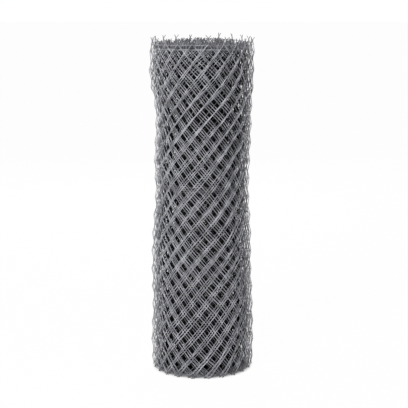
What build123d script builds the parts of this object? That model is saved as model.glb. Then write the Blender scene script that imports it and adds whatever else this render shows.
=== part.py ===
from build123d import *
from math import ceil, cos, pi, radians, sin, sqrt
import os

# A roll of chain link fence fabric, stored standing on end. The frame is in millimetres,
# +Z up from the floor, with the side that is looked at facing -Y.
# The fabric is a row of upright zig-zag wires, called pickets, each hooked into the next.
# The outermost turn is made wire by wire, and the turns inside it are one wound sheet.

# The wire and the mesh
wire = 2.5  # diameter of a picket's wire
tension_wire = 2.5  # diameter of the straight wires that are woven through the mesh
tie_wire = 1.8  # diameter of the binding wire
mesh_opening = 50.0  # clear distance between two parallel wires
diamond_width = 66.4  # along the fabric, at the mean radius of the outer turn
diamonds_high = 18
wire_gap = 0.3  # air between two wires that lie on each other
weave_gap = 0.5  # air between a tension wire and the legs that it passes

# The two edges of the fabric
knuckle_reach = 6.0  # how far a bent-over end passes its corner at the foot
knuckle_drop = 5.0  # and how far it points down
barb_run_in = 4.0  # height in which two ends close up before they are twisted
barb_steps = 5  # quarter turns in a twist
barb_step_height = 3.0
barb_tip_spread = 9.0
barb_tip_height = 13.0
rim_wire_inset = 9.0  # from the last corners to the top and bottom tension wires
middle_wire_row = 20  # the middle tension wire passes between this row of corners and the next

# The roll
outer_radius = 208.0  # to the middle of the fabric at its free end, at the waist
turn_pitch = 10.0  # from one turn to the next
eye_radius = 40.0  # of the hollow that the turns are wound round
free_end_direction = 80.0  # degrees from +X: the free end is at the back
waist_height = 800.0  # where the roll is narrowest
foot_bulge = 24.0  # how much further out the outer turn stands at the floor
top_flare = 22.0  # and at the top
flare_lean = 6.0  # how much more the top flares on the left than on the right

# The inner turns and the ties
sheet_thickness = 2.0
sheet_facets = 14  # flat facets in one turn of the wound sheet
sheet_bulge_share = 0.7  # how much of the outer turn's bulge and flare the sheet follows
tie_tail = 14.0  # twisted ends of a tie

# Worked out from the sizes above
side = mesh_opening + wire
diamond_height = sqrt((2 * side) ** 2 - diamond_width**2)
row_height = diamond_height / 2
rows = 2 * diamonds_high
leg_offset = (wire + tension_wire) / 2 + weave_gap  # from mid fabric to the middle of a leg
hook_reach = (wire + wire_gap) / 2  # a bend passes its neighbour's bend by twice this
bend_rise = wire / 2
twist_radius = (wire + wire_gap) / sqrt(2)
foot = knuckle_drop + wire / 2  # height of the lowest corners
top_row = foot + rows * row_height
mean_radius = outer_radius + (foot_bulge + top_flare) / 4
pairs = round(2 * pi * mean_radius / diamond_width)
pickets = 2 * pairs  # in one turn, so that every end has a partner
step = 2 * pi / pickets
free_end = radians(free_end_direction)
outer_start = free_end - 2 * pi


def spiral_radius(angle):
    """Radius of mid fabric at the waist. It falls by one pitch each turn from the free end."""
    return outer_radius - turn_pitch * (free_end - angle) / (2 * pi)


def bulge(height, flare=top_flare):
    """How far the outer turn stands out from its waist radius."""
    if height < waist_height:
        return foot_bulge * sin(pi / 2 * (waist_height - height) / waist_height)
    return flare * ((height - waist_height) / (top_row - waist_height)) ** 2


def on_fabric(angle, along, height, outward):
    """A point near the outer turn: its mid fabric at this angle, then along and out of the fabric."""
    radius = spiral_radius(angle) + bulge(height, top_flare - flare_lean * cos(angle))
    turned = angle + along / radius
    return Vector((radius + outward) * cos(turned), (radius + outward) * sin(turned), height)


def swept_wire(label, points, diameter):
    """A wire with mitred bends and three sides, which fits inside the round wire."""
    with BuildPart() as bent_wire:
        with BuildLine() as centre_line:
            Polyline(*points)
        with BuildSketch(Plane(origin=points[0], z_dir=points[1] - points[0])):
            RegularPolygon(radius=diameter / 2, side_count=3)
        sweep(path=centre_line.line, transition=Transition.RIGHT)
    bent_wire.part.label = label
    return bent_wire.part


def picket_points(number):
    """The centre line of one picket, from its knuckle at the floor to the tip of its barb.

    Its legs run up to the right outside the fabric and up to the left inside it. At each
    corner it turns from one side to the other through the bend of the next picket. The two
    pickets of a pair meet at their lowest and highest corners."""
    left_one = number % 2 == 1
    angles = {1: outer_start + number * step, -1: outer_start + (number - 1) * step}
    meeting = 1 if left_one else -1
    points = []
    for row in range(rows):
        edge = meeting if row % 2 == 0 else -meeting
        height = foot + row * row_height
        angle = angles[edge]
        if row == 0:
            points.append(on_fabric(angle, -edge * knuckle_reach, height - knuckle_drop, edge * leg_offset))
        points.append(on_fabric(angle, edge * hook_reach, height - bend_rise, edge * leg_offset))
        points.append(on_fabric(angle, edge * hook_reach, height + bend_rise, -edge * leg_offset))
    angle = angles[meeting]
    points.append(on_fabric(angle, 0, top_row, meeting * leg_offset))
    for quarter in range(barb_steps + 1):
        turn = meeting * pi / 2 + quarter * pi / 2
        height = top_row + barb_run_in + quarter * barb_step_height
        points.append(on_fabric(angle, twist_radius * cos(turn), height, twist_radius * sin(turn)))
    lean = round(cos(turn))
    tip = lean * (twist_radius + barb_tip_spread)
    points.append(on_fabric(angle, tip, height + barb_tip_height, 0))
    return points


def tension_wire_points(height):
    """A straight wire inside the mesh, between the outer and the inner legs of every picket."""
    points = [on_fabric(outer_start, -hook_reach, height, 0)]
    points += [on_fabric(outer_start + k * step, 0, height, 0) for k in range(1, pickets + 1)]
    points.append(on_fabric(free_end, tie_tail, height, 0))
    return points


def tie_points(height):
    """A loop round the tension wires of the last two turns, where the free end is held."""
    reach = (tension_wire + tie_wire) / 2 + wire_gap
    cross = (tie_wire + wire_gap) / 2
    inner = -turn_pitch - reach
    return [
        on_fabric(free_end, -cross, height - reach - tie_tail, reach),
        on_fabric(free_end, -cross, height + reach, reach),
        on_fabric(free_end, -cross, height + reach, inner),
        on_fabric(free_end, cross, height - reach, inner),
        on_fabric(free_end, cross, height - reach, reach),
        on_fabric(free_end, cross + tie_tail, height - reach - tie_tail / 2, reach),
    ]


def sheet_outline(height):
    """Both sides of the wound sheet at one height, from the eye out to where the outer turn starts."""
    last = outer_start - (hook_reach + wire / 2 + wire_gap) / spiral_radius(outer_start)
    first = free_end - 2 * pi * (outer_radius - eye_radius) / turn_pitch
    facets = ceil((last - first) / (2 * pi) * sheet_facets)
    angles = [first + (last - first) * k / facets for k in range(facets + 1)]
    opened = 1 + sheet_bulge_share * bulge(height) / outer_radius
    points = []
    for face, along in ((1, angles), (-1, angles[::-1])):
        for angle in along:
            radius = opened * (spiral_radius(angle) + face * sheet_thickness / 2)
            points.append((radius * cos(angle), radius * sin(angle)))
    return points


made = []

# The pickets of the outer turn
for number in range(1, pickets + 1):
    made.append(swept_wire(f"picket_{number:02d}", picket_points(number), wire))

# The woven tension wires and the ties that hold the free end
rim_heights = {
    "bottom": foot + rim_wire_inset,
    "middle": foot + (middle_wire_row + 0.5) * row_height,
    "top": top_row - rim_wire_inset,
}
for place, height in rim_heights.items():
    made.append(swept_wire(f"tension_wire_{place}", tension_wire_points(height), tension_wire))
    made.append(swept_wire(f"tie_{place}", tie_points(height), tie_wire))

# The turns inside the outer one
with BuildPart() as inner_turns:
    for height in (0, waist_height / 2, waist_height, (waist_height + top_row) / 2, top_row):
        with BuildSketch(Plane.XY.offset(height)):
            with BuildLine():
                Polyline(*sheet_outline(height), close=True)
            make_face()
    loft(ruled=True)
inner_turns.part.label = "inner_turns"
made.append(inner_turns.part)

# The origin is on the floor, under the middle of the whole roll
os.makedirs("parts", exist_ok=True)
boxes = [piece.bounding_box() for piece in made]
middle_x = (min(box.min.X for box in boxes) + max(box.max.X for box in boxes)) / 2
middle_y = (min(box.min.Y for box in boxes) + max(box.max.Y for box in boxes)) / 2
for piece in made:
    placed = piece.moved(Location((-middle_x, -middle_y, 0)))
    placed.label = piece.label
    export_step(placed, f"parts/{piece.label}.step")
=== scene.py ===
import bpy
import math
import numpy as np
from mathutils import Matrix, Vector


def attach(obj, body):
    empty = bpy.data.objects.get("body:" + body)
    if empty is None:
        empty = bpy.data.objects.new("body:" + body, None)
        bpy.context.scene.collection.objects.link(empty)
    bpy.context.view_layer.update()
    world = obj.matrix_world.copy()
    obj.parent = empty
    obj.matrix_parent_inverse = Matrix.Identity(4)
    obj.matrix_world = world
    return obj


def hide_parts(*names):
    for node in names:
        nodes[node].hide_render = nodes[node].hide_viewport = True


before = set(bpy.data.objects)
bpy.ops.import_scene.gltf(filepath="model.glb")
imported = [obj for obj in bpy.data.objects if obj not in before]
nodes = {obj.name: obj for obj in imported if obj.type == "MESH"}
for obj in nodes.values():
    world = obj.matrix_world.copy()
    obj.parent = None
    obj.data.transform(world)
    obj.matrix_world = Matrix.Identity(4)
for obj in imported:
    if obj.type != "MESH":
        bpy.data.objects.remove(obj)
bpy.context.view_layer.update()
print("frame loaded")

# A standing roll of chain link fabric. Every wire of every turn is modelled, first in a flat
# panel with x along the fabric, y out of its face and z up, and then wound into the spiral.
mm = 0.001

roll = {
    "outerRadius": 204.5 * mm,  # mid fabric at the free end, at the waist
    "turnPitch": 7.4 * mm,
    "eyeRadius": 38 * mm,
    "freeEnd": math.radians(80),  # at the back
    "innerShare": 0.7,  # part of the contour that is left at the eye
    "frontColumn": 20,  # the column at the front of the outer turn
    "fineTurns": 5,  # the outer turns, with rounder wires than those deeper in, and the lit copy of the zinc where those deeper in have the copy with painted shade
    # How far the left and the right side stand out from the radius at the waist, by height
    "heights": (0, 0.15, 0.3, 0.5, 0.65, 0.8, 0.95, 1.13, 1.22, 1.28, 1.34, 1.47),
    "left": np.array((20, 23, 15, 18, 15, 2, 10, -3, 4, 20, 26, 19)) * mm,
    "right": np.array((31, 32, 28, 24, 19, 10, 14, 23, 28, 30, 30, 30)) * mm,
}

# How the turns lie on each other, seen at the front. In each of the outer turns the wires that
# rise to the right have slipped along it by "rising" times the turn's share, and those that
# fall to the right by "falling" times its other share. Wires with like shares lie in bundles,
# and the rest spread out over the cells. Both change with height.
nest = {
    "heights": (0, 0.15, 0.4, 0.63, 0.86, 1.09, 1.31, 1.47),
    "rising": np.array((-14, -14, -14, -13.5, -13, -7, 12, 12)) * mm,
    "falling": np.array((14, 14, 14, 13.5, 13.2, 13.2, 13, 13)) * mm,
    "risingShares": (  # one row for each of the outer turns, by height
        (0, 0, 0, 0, 0, 0, 0, 0),
        (1, 1, 1, 1, 1, 1, 1, 1),
        (2, 2, 2, 1, 0.08, 0.08, 0.08, 0.08),
        (1.1, 1.1, 1.1, 1.1, 1.08, 1.08, 1.08, 1.08),
        (0.1, 0.1, 0.1, 1, 2.1, 2.1, 2.1, 2.1),
    ),
    "fallingShares": (
        (0, 0, 0, 0, 0, 0, 0, 0),
        (-1, -1, -1, -1, -1, -1, -1, -1),
        (1, 1, 1, 1, 1, 1, 1, 1),
        (-1.1, -1.1, -1.1, -2, -2, -2, -2, -2),
        (0.1, 0.1, 0.1, 0.1, 0.1, 0.1, 0.1, 1.9),
    ),
    "stagger": (0.618, 0.414),  # diamonds that each deeper turn's two kinds of wire slip further
    "sink": np.array((3.2, 2.4, 2, 1.7, 1.4, 1.1, 0.8, 0.6)) * mm,  # how much lower each turn lies
    "sinkingTurns": 6,  # and those deeper in no lower than this one
    "edgeZone": 0.12,  # towards each edge the sinking fades, and all wires slip as the falling ones
    "rimDrop": (18 * mm, 23 * mm),  # how far the inner turns' rims lie below the outer one's
    "blend": 12,  # columns over which the slips of one turn pass into those of the next
}

# Dents and unevenness. Each wave is its share, its radians per metre of height and per radian
# round the roll, and the radians that it starts at.
wave = {
    "dents": 1.5 * mm,  # in and out, in all turns alike
    "dentWaves": ((1, 5.1, 2, 0), (0.6, -7.3, 3, 1.7)),
    "shared": 2.2 * mm,  # along the mesh, in all turns
    "sharedWaves": ((1, 9, 4, 0), (1, 23, -5, 1)),
    "along": 0.6 * mm,  # along the mesh, different in each turn
    "alongWaves": ((1, 19, 2.3, 0), (1, 31, -3.7, 1)),
    "up": 0.4 * mm,  # up and down, away from the two edges
    "upWaves": ((1, 23, 2.9, 0), (1, 37, -4.3, 2)),
    "upZone": 0.1,  # height in which it fades at each edge
    "loose": 2 * mm,  # more dents of the outer turn alone
    "looseWaves": ((1, 9.3, 5, 0), (1, -17, 3, 0)),
    "looseTurns": 1.4,  # turns in from the free end, where they end
    "sideNarrowness": 3,  # the next two are strongest at the sides and fade towards the front
    "fold": 3 * mm,  # every other column lies further in
    "foldTurns": 4,  # where it ends, after fading over two turns
    "sideGap": 5 * mm,  # the inner turns lie this much tighter
    "sideGapFrom": 0.6,  # turns in from the free end
    "sag": 7 * mm,  # how much lower the rim stands at the sides
    "sagZone": 0.2,  # height below the rim in which the sag fades
}

fabric = {
    "wire": 2.5 * mm,
    "fineWidth": 1.12,  # a section with flat sides is drawn wider, to cover what the round one does
    "plainWidth": 1.3,
    "twistRadius": 0.53,  # in wires, from the middle of a twist to the middle of its strands
    "diamondWidth": 66.4 * mm,
    "diamondHeight": 81.34 * mm,
    "diamondsHigh": 18,
    "legOffset": 2.5 * mm,  # from mid fabric to the middle of a leg
    "bendReach": 1.4 * mm,  # how far a bend passes the line between two pickets
    "bendRise": 2.2 * mm,
    "foot": 5.35 * mm,  # height of the lowest bends
    "topLeg": (-0.4 * mm, -0.6 * mm),  # where the last leg ends, from the line and the top row
}
column = fabric["diamondWidth"] / 2
rowHeight = fabric["diamondHeight"] / 2
rows = 2 * fabric["diamondsHigh"]
topRow = fabric["foot"] + rows * rowHeight


def deselectAll():
    if bpy.context.object and bpy.context.object.mode != "OBJECT":
        bpy.ops.object.mode_set(mode="OBJECT")
    bpy.ops.object.select_all(action="DESELECT")


# Selects these objects and makes the last one active
def pick(*objects):
    deselectAll()
    for one in objects:
        one.select_set(True)
    bpy.context.view_layer.objects.active = objects[-1]


# Wires: a line is drawn by extruding one vertex from point to point, then given a section

def drawLine(name, points):
    deselectAll()
    bpy.ops.mesh.primitive_plane_add(size=mm, location=points[0])
    line = bpy.context.object
    line.name = name
    bpy.ops.object.mode_set(mode="EDIT")
    bpy.ops.mesh.merge(type="CENTER")
    for before, after in zip(points, points[1:]):
        bpy.ops.mesh.extrude_region_move(TRANSFORM_OT_translate={"value": after - before})
    bpy.ops.object.mode_set(mode="OBJECT")
    bpy.ops.object.transform_apply(location=True, rotation=False, scale=False)
    return line


def makeRound(line, diameter, sides):
    pick(line)
    bpy.ops.object.convert(target="CURVE")
    line.data.bevel_depth = diameter / 2
    line.data.bevel_resolution = (sides - 4) // 2
    line.data.use_fill_caps = True
    bpy.ops.object.convert(target="MESH")
    bpy.ops.object.shade_smooth()
    return line


# One bend, from the leg below it to the leg above it. The right edge is 1 and the left one -1.
def bendPoints(edge, height, steps):
    points = []
    for step in range(steps + 1):
        turn = math.pi * (0.5 - step / steps)
        out = fabric["legOffset"] * math.sin(turn)
        reach = fabric["bendReach"] + fabric["legOffset"] * (math.cos(turn) - 1)
        rise = fabric["bendRise"] * (2 * step / steps - 1)
        x = 0 if edge == 1 else -column
        points.append(Vector((x + edge * reach, edge * out, height + rise)))
    return points


barb = {
    "runIn": 2.5 * mm,
    "turns": 0.75,
    "pitch": 10.7 * mm,
    "spread": 9 * mm,
    "height": 12 * mm,
    "turnedBy": math.radians(60),  # each barb is turned and bent by chance, up to these
    "bentBy": 4 * mm,
    "bendHeight": 20 * mm,  # the bend reaches bentBy at this height over the last corner
    "bendMost": 1.2,
    "bendOutward": 0.6,  # part of the bend that goes in or out of the roll
}
knuckle = {
    "radius": 1.7 * mm,
    "steps": 5,
    "aside": 2 * mm,
    "drop": 2.4 * mm,
    "endInward": 1.5 * mm,
    "endRise": 2 * mm,
}


# The left picket of a pair, whose first and last corners are on the line x = 0
def picketPoints(bendSteps, twistSteps):
    outward = fabric["legOffset"]
    points = []
    for step in range(knuckle["steps"] + 1):  # the bent-over end, from its tip
        turn = math.pi * (1 + step / knuckle["steps"])
        x = -knuckle["aside"] - knuckle["radius"] + knuckle["radius"] * math.cos(turn)
        z = fabric["foot"] - knuckle["drop"] + knuckle["radius"] * math.sin(turn)
        points.append(Vector((x, outward, z)))
    points.insert(0, points[0] + Vector((0, -knuckle["endInward"], knuckle["endRise"])))
    for row in range(rows):
        edge = 1 if row % 2 == 0 else -1
        points += bendPoints(edge, fabric["foot"] + row * rowHeight, bendSteps)
    x, z = fabric["topLeg"]
    points.append(Vector((x, outward, topRow + z)))
    strand = fabric["wire"] * fabric["twistRadius"]
    count = round(barb["turns"] * twistSteps)
    for step in range(count + 1):
        turn = math.pi / 2 + 2 * math.pi * step / twistSteps
        z = topRow + barb["runIn"] + barb["pitch"] * step / twistSteps
        points.append(Vector((strand * math.cos(turn), strand * math.sin(turn), z)))
    lean = 1 if math.cos(turn) > 0 else -1
    points.append(Vector((lean * barb["spread"], 0, z + barb["height"])))
    return points


# Two hooked pickets. The right one is the left one turned half round on the line x = 0.
def makePair(name, bendSteps, twistSteps, sides, width):
    line = drawLine(name, picketPoints(bendSteps, twistSteps))
    left = makeRound(line, fabric["wire"] * width, sides)
    pick(left)
    bpy.ops.object.duplicate()
    right = bpy.context.object
    bpy.ops.object.mode_set(mode="EDIT")
    bpy.ops.mesh.select_all(action="SELECT")
    bpy.ops.transform.rotate(value=math.pi, orient_axis="Z", center_override=(0, 0, 0))
    bpy.ops.object.mode_set(mode="OBJECT")
    pick(right, left)
    bpy.ops.object.join()
    return bpy.context.object


finePair = makePair("finePair", bendSteps=4, twistSteps=8, sides=6, width=fabric["fineWidth"])
plainPair = makePair("plainPair", bendSteps=1, twistSteps=4, sides=4, width=fabric["plainWidth"])
print("pairs of pickets made", len(finePair.data.polygons), len(plainPair.data.polygons))


# The spiral. Columns are counted inwards from the free end, and turns by how often they pass
# the front. The fabric keeps its own width, so a wider turn takes more columns.

def spiralRadius(angle):
    return roll["outerRadius"] - roll["turnPitch"] * (roll["freeEnd"] - angle) / (2 * math.pi)


front = -math.pi / 2
frontColumns = [roll["frontColumn"]]
while spiralRadius(front - 2 * math.pi * len(frontColumns)) > roll["eyeRadius"]:
    middle = spiralRadius(front - 2 * math.pi * (len(frontColumns) - 0.5))
    natural = 2 * math.pi * (middle + np.mean(roll["left"])) / column
    frontColumns.append(frontColumns[-1] + 2 * round(natural / 2))
columns = 2 * round((frontColumns[-1] + 2) / 2)
turnEnds = [2 * round((a + b) / 4) for a, b in zip(frontColumns, frontColumns[1:])]
turnEnds = [0] + turnEnds + [columns]
print("columns", columns, "turns", len(frontColumns))

# Heights between which curves are sampled, and how a sample is averaged with its neighbours
smoothing = {"from": -0.05, "to": 1.6, "samples": 331, "passes": 3, "width": 9}


# A smooth curve through the values that a dictionary lists by height
def byHeight(settings, key, z):
    steps = np.linspace(smoothing["from"], smoothing["to"], smoothing["samples"])
    curve = np.interp(steps, settings["heights"], settings[key])
    width = smoothing["width"]
    for _ in range(smoothing["passes"]):
        padded = np.pad(curve, width // 2, mode="edge")
        curve = np.convolve(padded, np.ones(width) / width, mode="valid")
    return np.interp(z, steps, curve)


def bulgeAt(z, angle):
    toRight = (1 + np.cos(angle)) / 2
    return byHeight(roll, "left", z) * (1 - toRight) + byHeight(roll, "right", z) * toRight


chance = np.random.default_rng(5)
barbTurns = chance.uniform(-1, 1, columns)
barbBends = chance.uniform(-1, 1, (columns, 2))


# Turns and bends each barb, before the panel is wound
def ruffleBarbs(x, y, z):
    pair = np.clip(np.round(-x / (2 * column) - 0.5).astype(int), 0, columns - 1)
    middle = -(2 * pair + 1) * column
    rise = np.clip((z - topRow - barb["runIn"]) / (barb["turns"] * barb["pitch"]), 0, 1)
    turned = barb["turnedBy"] * barbTurns[pair] * rise
    aside = x - middle
    newX = aside * np.cos(turned) - y * np.sin(turned)
    newY = aside * np.sin(turned) + y * np.cos(turned)
    bent = barb["bentBy"] * np.clip((z - topRow) / barb["bendHeight"], 0, barb["bendMost"]) ** 2
    bentX = bent * barbBends[pair, 0]
    bentY = bent * barb["bendOutward"] * barbBends[pair, 1]
    x[:] = np.where(z > topRow, middle + newX + bentX, x)
    y[:] = np.where(z > topRow, newY + bentY, y)


# A turn's share of the slip, by height
def shareAt(key, number, z):
    return np.interp(z, nest["heights"], nest[key][number])


# How far a turn's mesh has slipped along the one outside it, and how much higher it lies
def slipAndLift(number, z):
    if number < len(nest["risingShares"]):
        rising = byHeight(nest, "rising", z) * shareAt("risingShares", number, z)
        falling = byHeight(nest, "falling", z) * shareAt("fallingShares", number, z)
    else:  # deep in the roll the turns are out of step, so that nothing shows through
        parts = [(stagger * number) % 1 - 0.5 for stagger in nest["stagger"]]
        rising, falling = [fabric["diamondWidth"] * part for part in parts]
    slip = (rising + falling) / 2
    lift = (falling - rising) / 2 * fabric["diamondHeight"] / fabric["diamondWidth"]
    whole = np.round(np.mean(lift) / rowHeight)  # a row up and a column along changes nothing
    slip = slip - whole * column
    lift -= whole * rowHeight + min(number, nest["sinkingTurns"]) * byHeight(nest, "sink", z)
    if number == 0:
        return slip, lift
    atRim = np.clip((z - topRow) / nest["edgeZone"] + 1, 0, 1)
    atFoot = np.clip(1 - z / nest["edgeZone"], 0, 1)
    slip += (falling - slip) * (atRim + atFoot)
    low, high = nest["rimDrop"]
    drop = low + (high - low) * ((nest["stagger"][0] * number) % 1)
    return slip, lift * (1 - atFoot) * (1 - atRim) - drop * atRim


# Painted light and shade in the zinc's colour. The outer turns keep their full tone. Painted shade
# darkens the turns deeper in the roll, and comes sooner at the sides. Painted light lifts the inner
# turns' mesh just below the rim. All barbs take one tone, and the knuckles are darker.
shade = {
    "from": 4.3,  # turns in from the free end, where the painted shade begins
    "to": 7.2,  # and where it is as dark as "deepest"
    "side": 2.8,  # turns by which both come sooner at the sides
    "deepest": 0.02,
    "rim": 0.5,  # the tone of the barbs, and the painted light that lifts the mesh up to rimHeight below them towards it
    "rimHeight": 10 * mm,
    "foot": 0.4,  # the knuckles, up to footHeight over the lowest bends
    "footHeight": 3 * mm,
}


def shadeAt(inTurns, z, atSide):
    deep = inTurns + shade["side"] * atSide - shade["from"]
    deep = np.clip(deep / (shade["to"] - shade["from"]), 0, 1)
    paintedLight = 1 - (1 - shade["deepest"]) * deep * deep * (3 - 2 * deep)
    nearRim = np.clip((z - topRow) / shade["rimHeight"] + 1, 0, 1)
    paintedLight = np.where(z > topRow, shade["rim"], np.maximum(paintedLight, shade["rim"] * nearRim))
    return np.where(z < fabric["foot"] + shade["footHeight"], paintedLight * shade["foot"], paintedLight)


# The angle round the spiral and the lift of points x along the fabric, where each turn hands
# over to the next one halfway between two passes of the front
def placeInTurns(x, z, share):
    count = -x / column
    angles = np.zeros_like(x)
    lifts = np.zeros_like(x)
    weights = np.zeros_like(x)
    for number, mark in enumerate(frontColumns):
        nearest = np.ones_like(x)
        if number > 0:
            begins = (frontColumns[number - 1] + mark) / 2
            nearest = np.clip((count - begins) / nest["blend"] + 0.5, 0, 1)
        if number + 1 < len(frontColumns):
            ends = (mark + frontColumns[number + 1]) / 2
            nearest = np.minimum(nearest, np.clip((ends - count) / nest["blend"] + 0.5, 0, 1))
        if nearest.max() == 0:
            continue
        slip, lift = slipAndLift(number, z)
        atFront = front - 2 * math.pi * number
        radius = spiralRadius(atFront) + share * bulgeAt(z, front)
        angles += nearest * (atFront + (x + column * mark + slip) / radius)
        lifts += nearest * lift
        weights += nearest
    return angles / weights, lifts / weights


# The sum of a dictionary's waves at each point
def ripple(key, z, angle):
    total = np.zeros_like(z)
    for share, up, around, start in wave[key]:
        total += share * np.sin(up * z + around * angle + start)
    return total


# Moves each vertex of a flat panel to its place in the roll, and stores its painted light and shade
def wind(piece, paintedShadeScale=1):
    mesh = piece.data
    co = np.empty(len(mesh.vertices) * 3)
    mesh.vertices.foreach_get("co", co)
    x, y, z = co.reshape(-1, 3).T.copy()
    ruffleBarbs(x, y, z)
    count = -x / column
    passes = len(frontColumns)
    inward = np.interp(count, frontColumns, np.arange(passes)) / passes
    share = 1 + (roll["innerShare"] - 1) * inward
    angle, lift = placeInTurns(x, z, share)
    inTurns = (roll["freeEnd"] - angle) / (2 * math.pi)
    along = wave["along"] * ripple("alongWaves", z, angle)
    along += wave["shared"] * ripple("sharedWaves", z, angle)
    angle += along / spiralRadius(angle)

    atSide = np.abs(np.cos(angle)) ** wave["sideNarrowness"]
    radius = spiralRadius(angle) + share * bulgeAt(z, angle)
    radius += wave["dents"] * ripple("dentWaves", z, angle)
    radius += y
    loose = wave["loose"] * np.clip(ripple("looseWaves", z, angle), -2, 0)
    radius += loose * np.clip(wave["looseTurns"] - inTurns, 0, 1)
    everyOther = np.cos(math.pi * count) - 1
    fading = np.clip((wave["foldTurns"] - inTurns) / 2, 0, 1)
    radius += wave["fold"] * atSide * everyOther * fading
    radius -= wave["sideGap"] * atSide * np.clip(inTurns - wave["sideGapFrom"], 0, 1)

    lift -= wave["sag"] * np.cos(angle) ** 2 * np.clip((z - topRow) / wave["sagZone"] + 1, 0, 1)
    fixedEnds = np.clip(np.minimum(z, topRow - z) / wave["upZone"], 0, 1)
    lift += wave["up"] * fixedEnds * ripple("upWaves", z, angle)
    placed = np.stack([radius * np.cos(angle), radius * np.sin(angle), z + lift], axis=1)
    mesh.vertices.foreach_set("co", placed.ravel())
    # Painted light and shade of each vertex, which the material multiplies into the zinc's colour
    paintedLight = mesh.attributes.new("paintedLight", "FLOAT", "POINT")
    paintedLight.data.foreach_set("value", paintedShadeScale * shadeAt(inTurns, z, atSide))
    mesh.update()


def makePanel(name, pair, firstPair, count):
    pick(pair)
    bpy.ops.object.duplicate()
    panel = bpy.context.object
    panel.name = name
    bpy.ops.object.mode_set(mode="EDIT")
    bpy.ops.mesh.select_all(action="SELECT")
    bpy.ops.transform.translate(value=(-column * (2 * firstPair + 1), 0, 0))
    bpy.ops.object.mode_set(mode="OBJECT")
    array = panel.modifiers.new("pairs", "ARRAY")
    array.use_relative_offset = False
    array.use_constant_offset = True
    array.constant_offset_displace = (-2 * column, 0, 0)
    array.count = count
    bpy.ops.object.modifier_apply(modifier="pairs")
    return panel


turns = []
for number, (first, last) in enumerate(zip(turnEnds, turnEnds[1:]), 1):
    pair = finePair if number <= roll["fineTurns"] else plainPair
    panel = makePanel(f"turn_{number:02d}", pair, first // 2, (last - first) // 2)
    wind(panel)
    turns.append(panel)
print("turns wound", len(turns), sum(len(turn.data.polygons) for turn in turns))

# Tension wires woven between the outer and the inner legs, with painted shade that makes them
# darker than the mesh in front of them
tension = {
    "wire": 2.2 * mm,
    "sides": 4,
    "rimInset": 5 * mm,
    "middleRow": 20,
    "tail": 14 * mm,
    # scales each wire's painted light and shade: the lower it is, the more shaded the wire is
    # painted
    "paintedShadeScale": {"bottom": 0.5, "middle": 0.4, "top": 0.75},
}
tensionHeights = {
    "bottom": fabric["foot"] + tension["rimInset"],
    "middle": fabric["foot"] + (tension["middleRow"] + 0.5) * rowHeight,
    "top": topRow - tension["rimInset"],
}
tensionWires = []
for place, height in tensionHeights.items():
    points = [Vector((tension["tail"], 0, height))]
    points += [Vector((-column * k / 2, 0, height)) for k in range(2 * columns + 1)]
    line = drawLine(f"tension_wire_{place}", points)
    wire = makeRound(line, tension["wire"], tension["sides"])
    wind(wire, tension["paintedShadeScale"][place])
    tensionWires.append(wire)
    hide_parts(f"tension_wire_{place}")
print("tension wires woven")

# Ties at the back: a loop round the last two turns' tension wires, with its ends twisted together
tie = {
    "wire": 1.8 * mm,
    "sides": 8,
    "gap": 0.3 * mm,
    "tail": 14 * mm,
    "twists": 2.5,
    "twistSteps": 20,
    "loopSteps": 16,
}
tieStrand = tie["wire"] * fabric["twistRadius"]


# One of the two strands of a tail, from the loop to its tip
def tailPoints(side, way, height, outward):
    points = []
    for step in range(tie["twistSteps"] + 1):
        turn = 2 * math.pi * tie["twists"] * step / tie["twistSteps"]
        x = side * tieStrand * math.cos(turn)
        y = outward + side * tieStrand * math.sin(turn)
        points.append(Vector((x, y, height + way * tie["tail"] * step / tie["twistSteps"])))
    return points


ties = []
for place, height in tensionHeights.items():
    way = 1 if place == "bottom" else -1
    reach = (tension["wire"] + tie["wire"]) / 2 + tie["gap"]
    loop = []
    for step in range(1, tie["loopSteps"]):
        turn = 2 * math.pi * step / tie["loopSteps"]
        x = tieStrand * (2 * step / tie["loopSteps"] - 1)
        y = (roll["turnPitch"] / 2 + reach) * math.cos(turn) - roll["turnPitch"] / 2
        loop.append(Vector((x, y, height - way * reach * math.sin(turn))))
    points = tailPoints(-1, way, height, reach)[::-1] + loop + tailPoints(1, way, height, reach)
    tieWire = makeRound(drawLine(f"tie_{place}", points), tie["wire"], tie["sides"])
    wind(tieWire)
    ties.append(tieWire)
    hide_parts(f"tie_{place}")
print("ties twisted")

for spare in (finePair, plainPair):
    bpy.data.objects.remove(spare)

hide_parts(*[name for name in nodes if name.startswith("picket_")])
for turn in turns[1:]:
    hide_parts("inner_turns")

# The middle of the whole roll's box goes over the origin
own = turns + tensionWires + ties
bpy.context.view_layer.update()
lows = np.array([np.array(one.bound_box).min(0) for one in own]).min(0)
highs = np.array([np.array(one.bound_box).max(0) for one in own]).max(0)
shift = -(lows + highs) / 2
for one in own:
    one.data.transform(Matrix.Translation((shift[0], shift[1], 0)))
    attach(one, "root")


# Materials

def linear(hexColour):
    parts = [int(hexColour[k:k + 2], 16) / 255 for k in (1, 3, 5)]
    return tuple(p / 12.92 if p < 0.04045 else ((p + 0.055) / 1.055) ** 2.4 for p in parts) + (1,)


# Adds a node to a material or the world, sets its values and sockets, and links sockets of
# earlier nodes to it
def addNode(owner, kind, settings=None, links=None):
    node = owner.node_tree.nodes.new(kind)
    for key, value in (settings or {}).items():
        if key in node.inputs:
            node.inputs[key].default_value = value
        else:
            setattr(node, key, value)
    for key, source in (links or {}).items():
        owner.node_tree.links.new(source, node.inputs[key])
    return node


def blank(owner):
    owner.use_nodes = True
    owner.node_tree.nodes.clear()
    return owner


zinc = {
    "dull": "#797a80",
    "dullBelow": 0.38,  # of the noise that makes the patches
    "bright": "#babbc2",
    "brightAbove": 0.64,
    "patch": 0.03,
    "detail": 3.0,
    "finish": {"Metallic": 0.1, "Roughness": 0.48},
    # gloss of the lit copy, and of the copy with painted shade, which takes away the deep turns'
    # reflections
    "litGloss": 0.55,
    "shadedGloss": 0.03,
}


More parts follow.
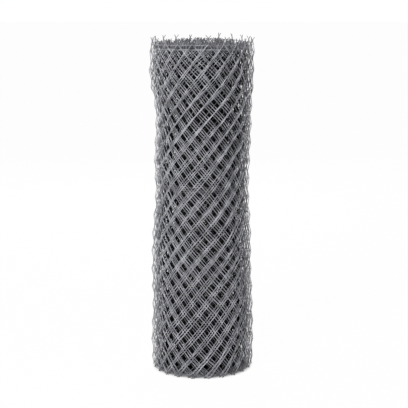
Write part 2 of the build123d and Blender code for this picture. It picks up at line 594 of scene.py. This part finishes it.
def galvanisedSteel(name, gloss):
    material = blank(bpy.data.materials.new(name))
    place = addNode(material, "ShaderNodeTexCoord")
    noise = {"Scale": 1 / zinc["patch"], "Detail": zinc["detail"]}
    patch = addNode(material, "ShaderNodeTexNoise", noise, {"Vector": place.outputs["Object"]})
    tone = addNode(material, "ShaderNodeValToRGB", None, {"Fac": patch.outputs["Fac"]})
    tone.color_ramp.elements[0].position = zinc["dullBelow"]
    tone.color_ramp.elements[0].color = linear(zinc["dull"])
    tone.color_ramp.elements[1].position = zinc["brightAbove"]
    tone.color_ramp.elements[1].color = linear(zinc["bright"])
    # The tone is scaled by the painted light and shade that wind() stored on each vertex
    paintedLight = addNode(material, "ShaderNodeAttribute", {"attribute_name": "paintedLight"})
    shadedTone = addNode(material, "ShaderNodeVectorMath", {"operation": "SCALE"},
                     {"Vector": tone.outputs["Color"], "Scale": paintedLight.outputs["Fac"]})
    finish = {**zinc["finish"], "Specular IOR Level": gloss}
    shader = addNode(material, "ShaderNodeBsdfPrincipled", finish,
                     {"Base Color": shadedTone.outputs["Vector"]})
    addNode(material, "ShaderNodeOutputMaterial", None, {"Surface": shader.outputs["BSDF"]})
    return material


# Zinc left by the dip: a soft grey with patches and a low gloss, which reads as bare wire. This is
# the lit copy, for the outer turns
litSteel = galvanisedSteel("hot-dip galvanised steel wire", zinc["litGloss"])
# A shaded copy of the same zinc, with almost no gloss, so that the turns deep in the roll read as
# its dark inside: painted shade
shadedSteel = galvanisedSteel("hot-dip galvanised steel wire, shaded copy", zinc["shadedGloss"])
for one in own:
    one.data.materials.clear()
    one.data.materials.append(shadedSteel if one in turns[roll["fineTurns"]:] else litSteel)
for node in nodes.values():
    node.data.materials.clear()
    node.data.materials.append(litSteel)
print("materials made")


# Stage, light and camera

# 1 for the rays that look at something, which see plain white, and 0 for those that light it
def lookingRays(owner):
    rays = addNode(owner, "ShaderNodeLightPath")
    either = addNode(owner, "ShaderNodeMath", {"operation": "MAXIMUM"},
                     {0: rays.outputs["Is Camera Ray"], 1: rays.outputs["Is Glossy Ray"]})
    looking = addNode(owner, "ShaderNodeMath", {"operation": "MAXIMUM"},
                      {0: either.outputs[0], 1: rays.outputs["Is Transmission Ray"]})
    return looking.outputs[0]


stage = {
    "size": 60,
    "top": -0.5 * mm,
    "paper": "#e8e8e8",
    "paperRadius": 0.2,  # the paper shows its shadows up to here, under the roll
    "whiteRadius": 0.23,  # and looks white from here on
    "whiteShare": 0.98,
    "whiteGlow": 1.0,
    "softLight": 0.08,
}


# White paper: matt under the roll, where it takes its shadow, and as white as the background
# everywhere else
def floorMaterial():
    material = blank(bpy.data.materials.new("white paper floor"))
    place = addNode(material, "ShaderNodeTexCoord")
    away = addNode(material, "ShaderNodeVectorMath", {"operation": "LENGTH"},
                   {0: place.outputs["Object"]})
    fade = {
        "From Min": stage["paperRadius"],
        "From Max": stage["whiteRadius"],
        "To Min": 0.0,
        "To Max": stage["whiteShare"],
    }
    outside = addNode(material, "ShaderNodeMapRange", fade, {"Value": away.outputs["Value"]})
    share = addNode(material, "ShaderNodeMath", {"operation": "MULTIPLY"},
                    {0: lookingRays(material), 1: outside.outputs["Result"]})
    matt = addNode(material, "ShaderNodeBsdfDiffuse", {"Color": linear(stage["paper"])})
    glow = addNode(material, "ShaderNodeEmission",
                   {"Color": (1, 1, 1, 1), "Strength": stage["whiteGlow"]})
    mix = addNode(material, "ShaderNodeMixShader", None,
                  {0: share.outputs[0], 1: matt.outputs[0], 2: glow.outputs[0]})
    addNode(material, "ShaderNodeOutputMaterial", None, {"Surface": mix.outputs[0]})
    return material


deselectAll()
bpy.ops.mesh.primitive_plane_add(size=stage["size"], location=(0, 0, stage["top"]))
floor = bpy.context.object
floor.name = "floor"
floor.data.materials.append(floorMaterial())

world = blank(bpy.data.worlds.new("studio"))
bpy.context.scene.world = world
soft = addNode(world, "ShaderNodeBackground", {"Strength": stage["softLight"]})
white = addNode(world, "ShaderNodeBackground",
                {"Color": (1, 1, 1, 1), "Strength": stage["whiteGlow"]})
mix = addNode(world, "ShaderNodeMixShader", None,
              {0: lookingRays(world), 1: soft.outputs[0], 2: white.outputs[0]})
addNode(world, "ShaderNodeOutputWorld", None, {"Surface": mix.outputs[0]})

lamps = {
    "key": {"at": (-2.5, -4.65, 3.6), "size": 2.0, "power": 425},
    "back": {"at": (-0.5, 4.8, 3.4), "size": 3.0, "power": 200},  # lights the side that faces away
}
lampTarget = Vector((0, 0, 0.8))
for name, lamp in lamps.items():
    deselectAll()
    bpy.ops.object.light_add(type="AREA", location=lamp["at"])
    light = bpy.context.object
    light.name = name
    light.data.size = lamp["size"]
    light.data.energy = lamp["power"]
    aim = lampTarget - Vector(lamp["at"])
    light.rotation_euler = aim.to_track_quat("-Z", "Y").to_euler()

view = {
    "distance": 5.95,
    "height": 1.86,
    "aside": 0.0095,
    "pitch": 10.63,  # degrees down
    "lens": 119.4,
    "sensor": 36,
}
deselectAll()
bpy.ops.object.camera_add(location=(view["aside"], -view["distance"], view["height"]))
camera = bpy.context.object
camera.rotation_euler = (math.radians(90 - view["pitch"]), 0, 0)
camera.data.lens = view["lens"]
camera.data.sensor_width = view["sensor"]
bpy.context.scene.camera = camera
bpy.context.scene.view_settings.view_transform = "Standard"
print("stage, lamps and camera set")
